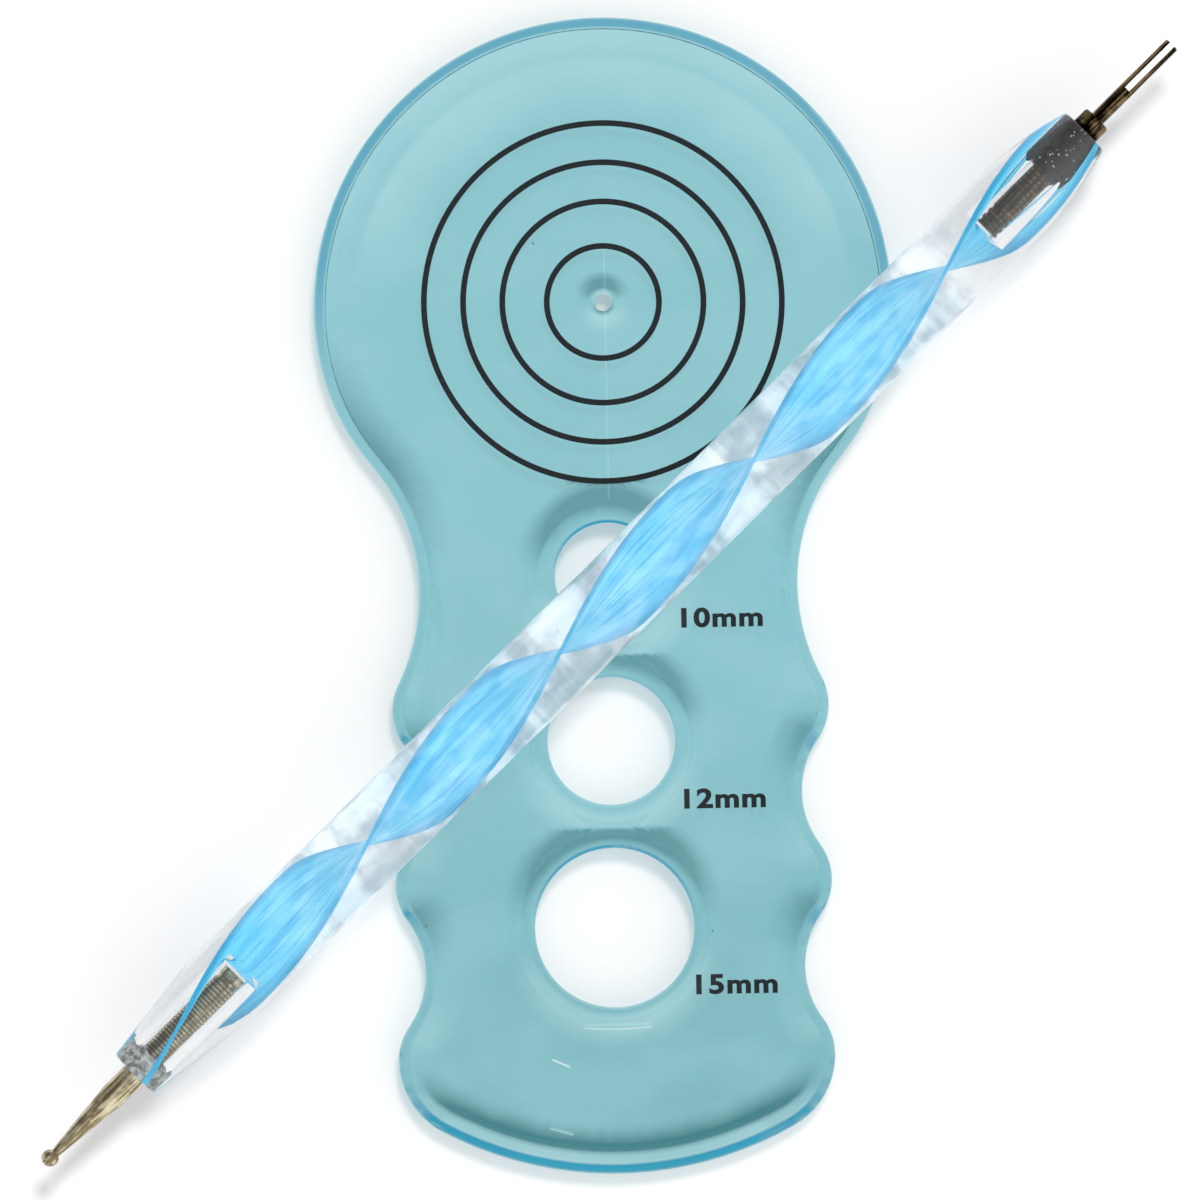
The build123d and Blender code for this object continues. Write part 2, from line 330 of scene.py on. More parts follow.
def clear_teal():
    """Moulded teal plastic, polished, with its weld line, scratches, a few specks and painted light
    and shade.
    """
    finish = Finish(bpy.data.materials.new("clear_teal"))
    where = finish.place(Matrix.Identity(4))
    deep, pale, blue = finish.mask("painted_light_masks")
    waves = finish.noise(finish.stretched(where, (0.6, 1.0, 1.0)), 7, 2)
    grain = finish.noise(where, 0.5, 2)
    _, y, _ = finish.parts(where)

    body = finish.mix(finish.band(y, -78.0, -20.0), plate_foot, plate_head)
    body = finish.mix(finish.band(waves, 0.4, 0.65) * 0.35, body, plate_pale)
    # Painted shade on slopes that face the head, then painted highlights on those that face the
    # foot.
    body = finish.mix(deep, body, plate_painted_shade)
    body = finish.mix(pale, body, plate_painted_highlight)
    marks = stroke(finish, where, *weld_line) * weld_share
    for scratch in foot_scratches:
        marks = marks + stroke(finish, where, *scratch) * scratch_share
    body = finish.mix(marks, body, plate_white)
    # Painted blue light along the rounded edges.
    body = finish.mix(blue, body, plate_painted_edge_blue)
    specks = finish.node("ShaderNodeTexVoronoi", {}, {"Vector": where, "Scale": 1 / speck_spacing})
    body = finish.mix(finish.band(specks, 0.012, 0.02, 0.8, 0.0), body, plate_speck)
    sockets = {
        "Base Color": body,
        "Roughness": finish.band(grain, 0.3, 0.7, 0.02, 0.06),
        "IOR": acrylic_index,
        "Transmission Weight": 1.0,
        "Normal": finish.bump(waves * 0.9 + grain * 0.1, 0.05, 0.5),
        "Emission Color": painted_plate_glow_colour,
        "Emission Strength": painted_plate_glow,
    }
    shader = finish.principled(sockets)
    sockets = {"Color": edge_colour, "Density": edge_density}
    depth = finish.node("ShaderNodeVolumeAbsorption", {}, sockets)
    return clear(finish, shader, plate_shade, depth)


teal_plastic = clear_teal()
print("made", teal_plastic.name)

# %% [markdown]
# ## Printing ink
#
# The rings and sizes are printed on the dish. The ink is nearly black, with the slight blue of
# the plastic round it, and it is matt beside the polished moulding.

# %% Make the ink
def printing_ink():
    """Black ink with a fine grain, thinner in places."""
    finish = Finish(bpy.data.materials.new("printing_ink"))
    where = finish.place(Matrix.Identity(4))
    thin = finish.band(finish.noise(where, 0.6, 4), 0.55, 0.8)
    sockets = {
        "Base Color": finish.mix(thin, tone(4, 14, 20), tone(16, 34, 42)),
        "Roughness": finish.band(finish.noise(where, 0.3), 0.3, 0.7, 0.5, 0.7),
        "Normal": finish.bump(finish.noise(where, 0.25), 0.01, 0.4),
    }
    return finish.surface(finish.principled(sockets))


ink = printing_ink()
print("made", ink.name)

# %% [markdown]
# ## Hazy acrylic for the handle
#
# The handle is a cast rod that is faintly milky: what lies deep in it is veiled, and what lies
# near its skin is clear. That is why the ribbon's near edge is a strong blue and its far edge
# a pale one, and why the plate hardly shows through eight millimetres of it. A thin scattering
# volume gives the depth, and a painted glow in it lights the haze.
#
# A milky skin gives the rest. It is polished away over the drilled ends, where the metal
# parts show sharply, and it is thick only on the side that the pen lies on, where it backs
# the clear stretches like pearl. So its share is a rule along the rod and up its side. The skin
# is partly the rod's own milkiness and partly painted light: its thickness on the lower side
# stands for the bright table seen through the rod, and it has a painted glow.

# %% Make the acrylic
haze_density = 35.0
# The haze and the milky skin glow: painted light, not lamps.
painted_haze_glow = 10.0
painted_milk_glow = 0.45
milk_start = (13.0, 23.0)
milk_end = (104.0, 113.0)
milk_height = (-1.2, 0.8)
handle_shade = (0.8, 0.82, 0.84)


def hazy_acrylic():
    """Polished clear rod with a light haze, and a cloudy skin between the two bores, both with a
    painted glow.
    """
    finish = Finish(bpy.data.materials.new("hazy_acrylic"))
    where = finish.place(pen_place)
    x, _, z = finish.parts(where)
    clouds = finish.noise(finish.stretched(where, (0.5, 1.0, 1.0)), 1.6, 4)
    marks = finish.noise(finish.stretched(where, (0.12, 1.0, 1.0)), 0.7, 3)
    normal = finish.bump(marks, 0.012, 0.4)
    tint = finish.mix(finish.band(clouds, 0.35, 0.65), tone(244, 248, 250), tone(254, 255, 255))
    sockets = {
        "Base Color": tint,
        "Roughness": finish.band(clouds, 0.35, 0.7, 0.01, 0.04),
        "IOR": acrylic_index,
        "Transmission Weight": 1.0,
        "Normal": normal,
    }
    glass = finish.principled(sockets)
    pearl = finish.mix(finish.band(clouds, 0.4, 0.6), tone(170, 184, 190), tone(255, 255, 252))
    sockets = {
        "Base Color": pearl,
        "Roughness": 0.3,
        "Normal": normal,
        "Emission Color": pearl,
        "Emission Strength": painted_milk_glow,
    }
    milk = finish.principled(sockets)
    undrilled = finish.band(x, *milk_start) * finish.band(x, *milk_end, 1.0, 0.0)
    # Painted light: the skin thickens on the lower side, standing for the bright table seen through
    # the rod.
    painted_lower_side = finish.band(z + clouds, *milk_height, 0.9, 0.1)
    share = undrilled * painted_lower_side * finish.band(clouds, 0.3, 0.7, 0.8, 1.0)
    shader = finish.blend(share, glass, milk)
    sockets = {
        "Color": (0.97, 0.98, 1, 1),
        "Density": haze_density,
        "Anisotropy": 0.2,
        "Emission Strength": painted_haze_glow,
        "Emission Color": (0.97, 0.985, 1, 1),
    }
    haze = finish.node("ShaderNodeVolumePrincipled", {}, sockets)
    return clear(finish, shader, handle_shade, haze)


acrylic = hazy_acrylic()
print("made", acrylic.name)

# %% [markdown]
# ## Blue ribbon
#
# The strip in the handle is sky blue, deeper along its two edges, with fine streaks that run
# its length. The streaks have to turn with the strip, so the pattern needs to know how far a
# point lies across it. The strip's width points straight up where x is 5.3 mm and makes half a
# turn in 25.6 mm, so a sine and a cosine of x turn each point back into the flat strip.

# %% Make the ribbon's plastic
ribbon_width = 4.9
ribbon_thickness = 0.3
half_turn = 25.6
upright_x = 5.3
# The ribbon's glow is painted light, not a lamp.
painted_ribbon_glow = 0.25


def ribbon_blue():
    """Sky blue strip with deeper edges, fine streaks and a painted glow."""
    finish = Finish(bpy.data.materials.new("ribbon_blue"))
    x, y, z = finish.parts(finish.place(pen_place))
    turn = (x - upright_x) * (math.pi / half_turn)
    across = y * finish.math("SINE", turn) + z * finish.math("COSINE", turn)
    flat = finish.joined(x * 0.03, across, 0.0)
    broad = finish.band(finish.noise(flat, 0.8, 2), 0.42, 0.62)
    fine = finish.band(finish.noise(flat, 0.22, 3), 0.5, 0.7)
    edge = finish.band(abs(across), ribbon_width * 0.38, ribbon_width * 0.48)
    body = finish.mix(broad * 0.8, tone(106, 218, 252), tone(50, 194, 244))
    body = finish.mix(fine * 0.8, body, tone(12, 168, 236))
    body = finish.mix(edge * 0.85, body, tone(0, 164, 214))
    sockets = {
        "Base Color": body,
        "Roughness": 0.45,
        "Normal": finish.bump(broad, 0.03, 0.4),
        "Emission Color": body,
        "Emission Strength": painted_ribbon_glow,
    }
    return finish.surface(finish.principled(sockets))


ribbon_plastic = ribbon_blue()
print("made", ribbon_plastic.name)

# %% [markdown]
# ## Metals
#
# The stylus was nickel plated and has worn warm, with turning marks round it. The needle and
# its holder are steel that was darkened. Both use one recipe, a metal whose tarnish comes in
# patches and whose turning marks are noise squeezed along the pen.

# %% Make the two metals
def turned_metal(name, bright, dull, roughness, grooves):
    """Turned metal with polish lines, tarnish, and a dark tone in its grooves."""
    finish = Finish(bpy.data.materials.new(name))
    where = finish.place(pen_place)
    x, _, _ = finish.parts(where)
    start, end, pitch = grooves
    rings = finish.noise(finish.stretched(where, (1.0, 0.1, 0.1)), 0.16, 2)
    lines = finish.noise(finish.stretched(where, (0.05, 1.0, 1.0)), 0.28, 3)
    patches = finish.noise(where, 0.9, 4)
    colour = finish.mix(finish.band(patches * 0.5 + lines, 0.6, 0.86), bright, dull)
    wave = finish.math("COSINE", (x - start) * (2 * math.pi / pitch))
    grooved = finish.band(x, start - pitch, start) * finish.band(x, end, end + pitch, 1.0, 0.0)
    darker_grooves = grooved * finish.band(wave, -0.9, 0.3, 0.8, 0.0)
    colour = finish.mix(darker_grooves, colour, tone(38, 32, 22))
    sockets = {
        "Base Color": colour,
        "Metallic": 1.0,
        "Roughness": finish.band(rings + patches * 0.5, 0.5, 1.0, roughness, roughness + 0.15),
        "Normal": finish.bump(rings, 0.02, 0.5),
    }
    return finish.surface(finish.principled(sockets))


rib_start = 0.5
rib_pitch = 0.38
rib_count = 31
shank_grooves = (rib_start, rib_start + rib_pitch * (rib_count - 1), rib_pitch)
holder_grooves = (112.9, 125.0, 0.5)
nickel_tones = (tone(222, 212, 182), tone(136, 122, 90))
steel_tones = (tone(136, 114, 78), tone(14, 11, 8))
worn_nickel = turned_metal("worn_nickel", *nickel_tones, 0.26, shank_grooves)
dark_steel = turned_metal("dark_steel", *steel_tones, 0.25, holder_grooves)
print("made", worn_nickel.name, "and", dark_steel.name)

# %% [markdown]
# ## Glue
#
# A drop of glue holds each metal part in the handle. It has set cloudy and uneven, and it
# trapped air. The stylus glue is pale grey, and the needle glue is nearly black.

# %% Make the glues
def set_glue(name, pale, deep, patch):
    """Set glue, mottled, with a wet shine."""
    finish = Finish(bpy.data.materials.new(name))
    where = finish.place(pen_place)
    cloud = finish.noise(where, patch, 4)
    sockets = {
        "Base Color": finish.mix(finish.band(cloud, 0.4, 0.62), deep, pale),
        "Roughness": finish.band(cloud, 0.3, 0.7, 0.2, 0.45),
        "Normal": finish.bump(cloud, 0.12, 0.8),
    }
    return finish.surface(finish.principled(sockets))


pale_glue = set_glue("pale_glue", tone(206, 208, 204), tone(120, 122, 118), 0.5)
dark_glue = set_glue("dark_glue", tone(40, 38, 32), tone(4, 8, 9), 0.6)
air = set_glue("air_bubble", tone(226, 234, 234), tone(120, 136, 136), 0.2)
print("made", pale_glue.name, dark_glue.name, air.name)

# %% [markdown]
# ## From a bmesh to a finished piece
#
# Whatever way a piece is drawn, its end is the same: doubles merged, faces turned outward,
# the mesh placed in the frame, shading smooth except at true edges. On a mesh that mixes large
# flat faces with narrow round ones, a plain average bends the normals of the flats, and clear
# plastic shows each bend as a false glint. Weighting each normal by face area keeps flats flat.

# %% Finish a piece
merge_mm = 1e-5
merge_m = 1e-6


def placed(name, data):
    """A new object in the scene."""
    thing = bpy.data.objects.new(name, data)
    bpy.context.scene.collection.objects.link(thing)
    return thing


def plain_mesh(thing):
    """A plain mesh of what an object's curve or modifiers make."""
    bpy.context.view_layer.update()
    depsgraph = bpy.context.evaluated_depsgraph_get()
    return bpy.data.meshes.new_from_object(thing.evaluated_get(depsgraph))


def even_shading(piece):
    """Bakes normals that follow the larger faces, and keeps sharp edges sharp."""
    weigh = piece.modifiers.new("weigh", "WEIGHTED_NORMAL")
    weigh.keep_sharp = True
    mesh = plain_mesh(piece)
    piece.modifiers.clear()
    mesh.name = piece.name
    piece.data = mesh
    return piece


def solid_from(name, builder, material, place=None, angle=40):
    """A finished piece from a bmesh, smooth but for edges sharper than angle."""
    mesh = bpy.data.meshes.new(name)
    builder.to_mesh(mesh)
    builder.free()
    if place:
        mesh.transform(place)
    mesh.polygons.foreach_set("use_smooth", [True] * len(mesh.polygons))
    mesh.set_sharp_from_angle(angle=math.radians(angle))
    mesh.materials.clear()
    mesh.materials.append(material)
    return placed(name, mesh)


def closed(builder):
    """Merges doubles and turns the faces outward."""
    bmesh.ops.remove_doubles(builder, verts=builder.verts, dist=merge_mm)
    bmesh.ops.recalc_face_normals(builder, faces=builder.faces)
    return builder


def smooth_copy(name, node, material, angle=30):
    """A CAD node's shape with its loose triangles joined, so that curved faces shade smoothly."""
    builder = bmesh.new()
    builder.from_mesh(frame["nodes"][node].data)
    bmesh.ops.remove_doubles(builder, verts=builder.verts, dist=merge_m)
    return even_shading(solid_from(name, builder, material, None, angle))


print("pieces can be finished")

# %% [markdown]
# ## Plate
#
# The CAD plate already has the moulding's true shape, so a smoothed copy of it takes its place.

# %% Dress the plate and its rings
plate = smooth_copy("plate_moulding", "sizing_plate", teal_plastic)
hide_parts("sizing_plate")
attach(plate, "plate")
frame["nodes"]["size_rings"].data.materials.clear()
frame["nodes"]["size_rings"].data.materials.append(ink)
print("plate triangles:", len(plate.data.polygons))

# %% [markdown]
# ## Light in the slopes and edges
#
# The masks that the teal plastic reads are worked out here from the plate's own shape, and all
# three are painted light. A slope that faces the head of the plate gets the deep mask, a painted
# shade, and one that faces the foot the pale mask, a painted highlight. The blue mask is painted
# blue light along the rounded edges, strongest where an edge faces the foot. How far a point lies
# inside the outline comes from a tree of points on the outline. In the rules, a pair of values is
# a rise: the mask starts at the first and is full at the second.

# %% Measure the distance to the outline
gauges = [mounts["gauge_10"], mounts["gauge_12"], mounts["gauge_15"]]
gauge_holes = [(Vector(gauge["pos_m"]).xy / mm, gauge["dims"]["r_mm"]) for gauge in gauges]
outline_spacing = 0.2
base_bevel = 0.35
same_height = 0.01


def from_hole(place):
    """The nearest sizing hole's number, and the distance from its wall in mm."""
    gaps = [(place - centre).length - radius for centre, radius in gauge_holes]
    nearest = min(range(len(gaps)), key=lambda index: abs(gaps[index]))
    return nearest, gaps[nearest]


def outline_tree(mesh):
    """Tree of points along the foot of the plate's outer wall."""
    points = []
    for edge in mesh.edges:
        first, last = [mesh.vertices[index].co / mm for index in edge.vertices]
        if max(abs(first.z - base_bevel), abs(last.z - base_bevel)) > same_height:
            continue
        steps = max(1, math.ceil((last - first).length / outline_spacing))
        points += [first.xy.lerp(last.xy, step / steps) for step in range(steps)]
    tree = KDTree(len(points))
    for index, point in enumerate(points):
        tree.insert(point.to_3d(), index)
    tree.balance()
    print("points on the outline:", len(points))
    return tree


outline = outline_tree(plate.data)

# %% Name the rules of the masks
# Deep shares are painted shade, pale shares painted highlights, blue shares painted blue edge
# light.
underside_tilt = 0.05
hole_edge_width, hole_edge_start = 0.5, (0.0, 0.12)
hole_faces_foot, hole_faces_head = (0.05, 0.4), (0.1, 0.7)
hole_blue, hole_pale = (1.0, 0.25, 1.0), 0.5
edge_width, edge_corner = 0.9, 0.05
edge_faces_foot, edge_start, edge_end = (0.25, 0.75), (0.02, 0.2), (0.0, 0.1)
stem_below, head_above, head_blue = (32, 36), (-8, 3), 0.75
lip_width, lip_end, lip_pale = 2.0, (0, 0.4), 0.75
lip_faces_foot, lip_below = (0.5, 0.9), (60, 68)
slope_deep, stem_deep = (0.04, 0.34), 0.75
foot_start, foot_rim, foot_deep = -66.0, 8, (1.3, 2.2)
slope_pale, pale_share = (0.06, 0.5), 0.5
band_above, band_end = (2, 10), (0, 0.3)
cove_start, cove_edge, cove_pale = (3.3, 4.2), 4.95, 0.55
line_start, line_edge, line_pale = (0.9, 1.1), 1.8, 0.4
boss_faces_foot, boss_edge, boss_end, boss_pale = (0.2, 0.7), 2.3, (0, 0.6), 0.5
print("the masks have their rules")

# %% Paint the masks
def rise(value, low, high):
    """0 below low, 1 above high, straight between."""
    return min(1, max(0, (value - low) / (high - low)))


def painted_light_shares(place, normal):
    """Painted shade, painted highlight and painted blue edge light shares at one corner of the
    plate.
    """
    near, _, inset = outline.find(place.xy.to_3d())
    toward_foot = -normal.y
    hole, gap = from_hole(place.xy)
    if normal.z < -underside_tilt:
        return 0, 0, 0
    if gap < hole_edge_width:
        blue = rise(toward_foot, *hole_faces_foot) * hole_blue[hole] * rise(gap, *hole_edge_start)
        return 0, rise(-toward_foot, *hole_faces_head) * hole_pale, blue
    outward = (near.xy - place.xy).normalized()
    if inset < edge_width:
        if inset <= edge_corner:
            outward = normal.xy.normalized()
        low = rise(-outward.y, *edge_faces_foot) * rise(-place.y, *stem_below)
        head = head_blue * rise(place.y, *head_above)
        band = rise(inset, *edge_start) * rise(edge_width - inset, *edge_end)
        return 0, 0, max(low, head) * band
    lip = rise(-outward.y, *lip_faces_foot) * rise(-place.y, *lip_below)
    lip *= rise(lip_width - inset, *lip_end)
    at_foot = inset < foot_rim and place.y < foot_start
    deep = rise(-toward_foot, *slope_deep) * (rise(inset, *foot_deep) if at_foot else stem_deep)
    pale = rise(toward_foot, *slope_pale) * pale_share
    at_head = rise(place.y, *band_above)
    cove_end = at_head * rise(inset, *cove_start) * rise(cove_edge - inset, *band_end)
    rim_line = at_head * rise(inset, *line_start) * rise(line_edge - inset, *band_end)
    below_hole = (gauge_holes[hole][0].y - place.y) / gauge_holes[hole][1]
    boss = rise(below_hole, *boss_faces_foot) * rise(boss_edge - gap, *boss_end)
    pale = max(pale, cove_pale * cove_end, line_pale * rim_line, boss_pale * boss, lip_pale * lip)
    return deep * (1 - lip), pale, 0


def paint_masks(piece):
    """Stores the three masks of painted light and shade as a colour on each corner."""
    mesh = piece.data
    colours = []
    for corner, normal in zip(mesh.loops, mesh.corner_normals):
        place = mesh.vertices[corner.vertex_index].co / mm
        colours += [*painted_light_shares(place, normal.vector), 1]
    masks = mesh.attributes.new("painted_light_masks", "FLOAT_COLOR", "CORNER")
    masks.data.foreach_set("color", colours)
    print("corners painted:", len(mesh.loops))


paint_masks(plate)

# %% [markdown]
# ## Printed sizes
#
# Beside each hole stands its size. The print follows the dish, and part of it climbs the
# flank of a hole's boss, so flat letters would float or sink. Each letter's mesh is cut fine
# and dropped on to the plate, point by point.

# %% Make flat words
label_places = {"10mm": (10.68, -29.95), "12mm": (10.64, -47.02), "15mm": (11.44, -64.58)}
label_width = 7.7
label_height = 1.9
label_boldness = 0.035
label_spacing = 1.1
curve_steps = 6
print_thickness = 0.04
longest_edge = 0.25
cutting_rounds = 3


def flat_word(word):
    """A word as a bmesh in the floor plane, cut fine, with its middle at the origin."""
    curve = bpy.data.curves.new(word, "FONT")
    curve.body = word
    curve.offset = label_boldness
    curve.space_character = label_spacing
    curve.resolution_u = curve_steps
    holder = placed(word, curve)
    builder = bmesh.new()
    builder.from_mesh(plain_mesh(holder))
    bpy.data.objects.remove(holder)
    bmesh.ops.remove_doubles(builder, verts=builder.verts, dist=merge_mm)
    xs = [v.co.x for v in builder.verts]
    ys = [v.co.y for v in builder.verts]
    for v in builder.verts:
        v.co.x = (v.co.x - (max(xs) + min(xs)) / 2) * label_width / (max(xs) - min(xs))
        v.co.y = (v.co.y - (max(ys) + min(ys)) / 2) * label_height / (max(ys) - min(ys))
    bmesh.ops.triangulate(builder, faces=builder.faces)
    for _ in range(cutting_rounds):
        long_edges = [edge for edge in builder.edges if edge.calc_length() > longest_edge]
        bmesh.ops.subdivide_edges(builder, edges=long_edges, cuts=1)
        bmesh.ops.triangulate(builder, faces=builder.faces)
    return builder


print("words can be made")

# %% Print the sizes
def printed(word, place):
    """The word as a film of ink on the plate."""
    builder = flat_word(word)
    for face in builder.faces:
        if face.normal.z < 0:
            face.normal_flip()
    top = bmesh.ops.extrude_face_region(builder, geom=builder.faces[:])
    raised = {v for v in top["geom"] if isinstance(v, bmesh.types.BMVert)}
    for v in builder.verts:
        v.co.x += place[0]
        v.co.y += place[1]
        hit = plate_shape.ray_cast(Vector((v.co.x * mm, v.co.y * mm, 1)), Vector((0, 0, -1)))[0]
        v.co.z = hit.z / mm + (print_thickness if v in raised else -print_thickness / 2)
    return solid_from("size_" + word, closed(builder), ink, Matrix.Scale(mm, 4))


plate_shape = BVHTree.FromPolygons(
    [v.co for v in plate.data.vertices], [p.vertices for p in plate.data.polygons]
)
for word, place in label_places.items():
    label = printed(word, place)
    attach(label, "plate")
    print(word, "has", len(label.data.polygons), "faces")

# %% [markdown]
# ## Handle
#
# In CAD the handle has the ribbon's space cut out of it, which is right for a solid model. In
# a render that would leave a film of air round the ribbon, and the ribbon would mirror like a
# bubble. So the visual handle is one clear body with only its two bores open, and the ribbon
# is simply inside it. A profile of (x, radius) points, spun round the axis, makes it.

# %% Round the corners of a profile
arc_steps = 8


def rounded(points, radii):
    """A polyline whose corners are arcs of the given radii, 0 for a sharp one."""
    path = [Vector(points[0])]
    for before, corner, after, radius in zip(points, points[1:], points[2:], radii):
        corner = Vector(corner)
        to_before = (Vector(before) - corner).normalized()
        to_after = (Vector(after) - corner).normalized()
        if radius == 0:
            path.append(corner)
            continue
        half = to_before.angle(to_after) / 2
        centre = corner + (to_before + to_after).normalized() * (radius / math.sin(half))
        first = corner + to_before * (radius / math.tan(half)) - centre
        last = corner + to_after * (radius / math.tan(half)) - centre
        for step in range(arc_steps + 1):
            path.append(centre + first.slerp(last, step / arc_steps).normalized() * radius)
    path.append(Vector(points[-1]))
    return path


print("corners are arcs of", arc_steps, "steps")

# %% Spin a profile into a closed piece
axis_r = 1e-6
wander_seed = 7.0
wander_pitch = 1.6


def turned(name, profile, material, sides=96, ragged=0.0, ragged_x=0.0):
    """A piece spun from (x, radius) points in mm. Points at ragged_x wander along x."""
    builder = bmesh.new()
    rings = []
    turns = [2 * math.pi * side / sides for side in range(sides)]
    for x, radius in profile:
        if radius < axis_r:
            rings.append([builder.verts.new((x, 0, 0))] * sides)
            continue
        ring = []
        for t in turns:
            y, z = radius * math.cos(t), radius * math.sin(t)
            place = Vector((wander_seed, y * wander_pitch, z * wander_pitch))
            wander = ragged * noise.noise(place) if x == ragged_x else 0
            ring.append(builder.verts.new((x + wander, y, z)))
        rings.append(ring)
    for ring, following in zip(rings, rings[1:]):
        for side in range(sides):
            beside = (side + 1) % sides
            corners = [ring[side], ring[beside], following[beside], following[side]]
            corners = list(dict.fromkeys(corners))
            if len(corners) > 2:
                builder.faces.new(corners)
    return solid_from(name, closed(builder), material, pen_place)


print("profiles can be spun")

# %% Spin the handle
handle_length = 126.0
handle_r = 4.0
bore_r = 1.65
stylus_face_r = 2.6
needle_face_r = 2.5
stylus_taper = 11.0
needle_taper = 9.8
face_round = 0.35
shoulder_round = 16
stylus_bore = 13.7
stylus_point = 1.4
needle_bore = 13.4
needle_point = 0.9


def needle_end_curve(steps=16):
    """The curve that draws the handle in at its needle end."""
    drop = handle_r - needle_face_r
    radius = (needle_taper**2 + drop**2) / (2 * drop)
    start = handle_length - needle_taper
    sweep = math.asin(needle_taper / radius)
    turns = [sweep * step / steps for step in range(steps + 1)]
    return [(start + radius * math.sin(t), handle_r - radius + radius * math.cos(t)) for t in turns]


handle_profile = rounded(
    [
        (stylus_bore + stylus_point, 0),
        (stylus_bore, bore_r),
        (0, bore_r),
        (0, stylus_face_r),
        (stylus_taper, handle_r),
        (handle_length / 2, handle_r),
    ],
    [0, 0, face_round, shoulder_round],
)
needle_side = rounded(
    [
        needle_end_curve()[-2],
        (handle_length, needle_face_r),
        (handle_length, bore_r),
        (handle_length - needle_bore, bore_r),
        (handle_length - needle_bore - needle_point, 0),
    ],
    [face_round, 0, 0],
)
handle_profile += needle_end_curve()[:-2] + needle_side
handle = turned("clear_handle", handle_profile, acrylic, 128)
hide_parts("handle")
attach(handle, "pen")
print("handle triangles:", len(handle.data.polygons))

# %% [markdown]
# ## Shapes that follow a rule
#
# The ribbon is a flat strip wound along the pen, the stylus has a rib every 0.38 mm, and the
# glue has bubbles all over it. Geometry Nodes make such things: a tree holds the rule, its
# named inputs hold the sizes, and the result is turned into a plain mesh at the end. The tree
# class from above needs only three more methods to do that.

# %% Make a shape tree
class Shape(Tree):
    """A geometry tree with named inputs, and the piece that it makes."""

    def __init__(self, name):
        super().__init__(bpy.data.node_groups.new(name, "GeometryNodeTree"))
        self.new_socket = self.tree.interface.new_socket
        self.new_socket("Geometry", in_out="OUTPUT", socket_type="NodeSocketGeometry")
        self.inputs = self.tree.nodes.new("NodeGroupInput")
        self.sizes = {}

    def size(self, name, value):
        """A named input, and the wire that brings it."""
        socket = self.new_socket(name, in_out="INPUT", socket_type="NodeSocketFloat")
        self.sizes[socket.identifier] = value
        return Wire(self, self.inputs.outputs[name])

    def end(self, geometry, material):
        """Realizes instances, sets the material and ends the tree."""
        real = self.node("GeometryNodeRealizeInstances", {}, {0: geometry})
        done = self.node("GeometryNodeSetMaterial", {}, {"Geometry": real, "Material": material})
        out = self.tree.nodes.new("NodeGroupOutput")
        self.tree.links.new(done.socket, out.inputs[0])

    def piece(self, name, material, angle=40):
        """Runs the tree, and turns what it makes into a plain piece on the pen."""
        holder = placed(name, bpy.data.meshes.new(name))
        modifier = holder.modifiers.new("shape", "NODES")
        modifier.node_group = self.tree
        for identifier, value in self.sizes.items():
            modifier[identifier] = value
        mesh = plain_mesh(holder)
        bpy.data.objects.remove(holder)
        builder = bmesh.new()
        builder.from_mesh(mesh)
        return solid_from(name, closed(builder), material, pen_place, angle)


print("shape trees are ready")

# %% [markdown]
# ## Ribbon
#
# The tree lays out a grid as a flat strip, as wide as the handle leaves room for, and takes
# away the faces that lie in the bores. Then it winds the sheet up about the axis, a little to
# one side of the middle, and draws it out through the strip's thickness.

# %% Wind the ribbon
ribbon_cover = 0.15
ribbon_columns = 17
ribbon_rows = 421
point_share = 0.6
bore_share = 0.97


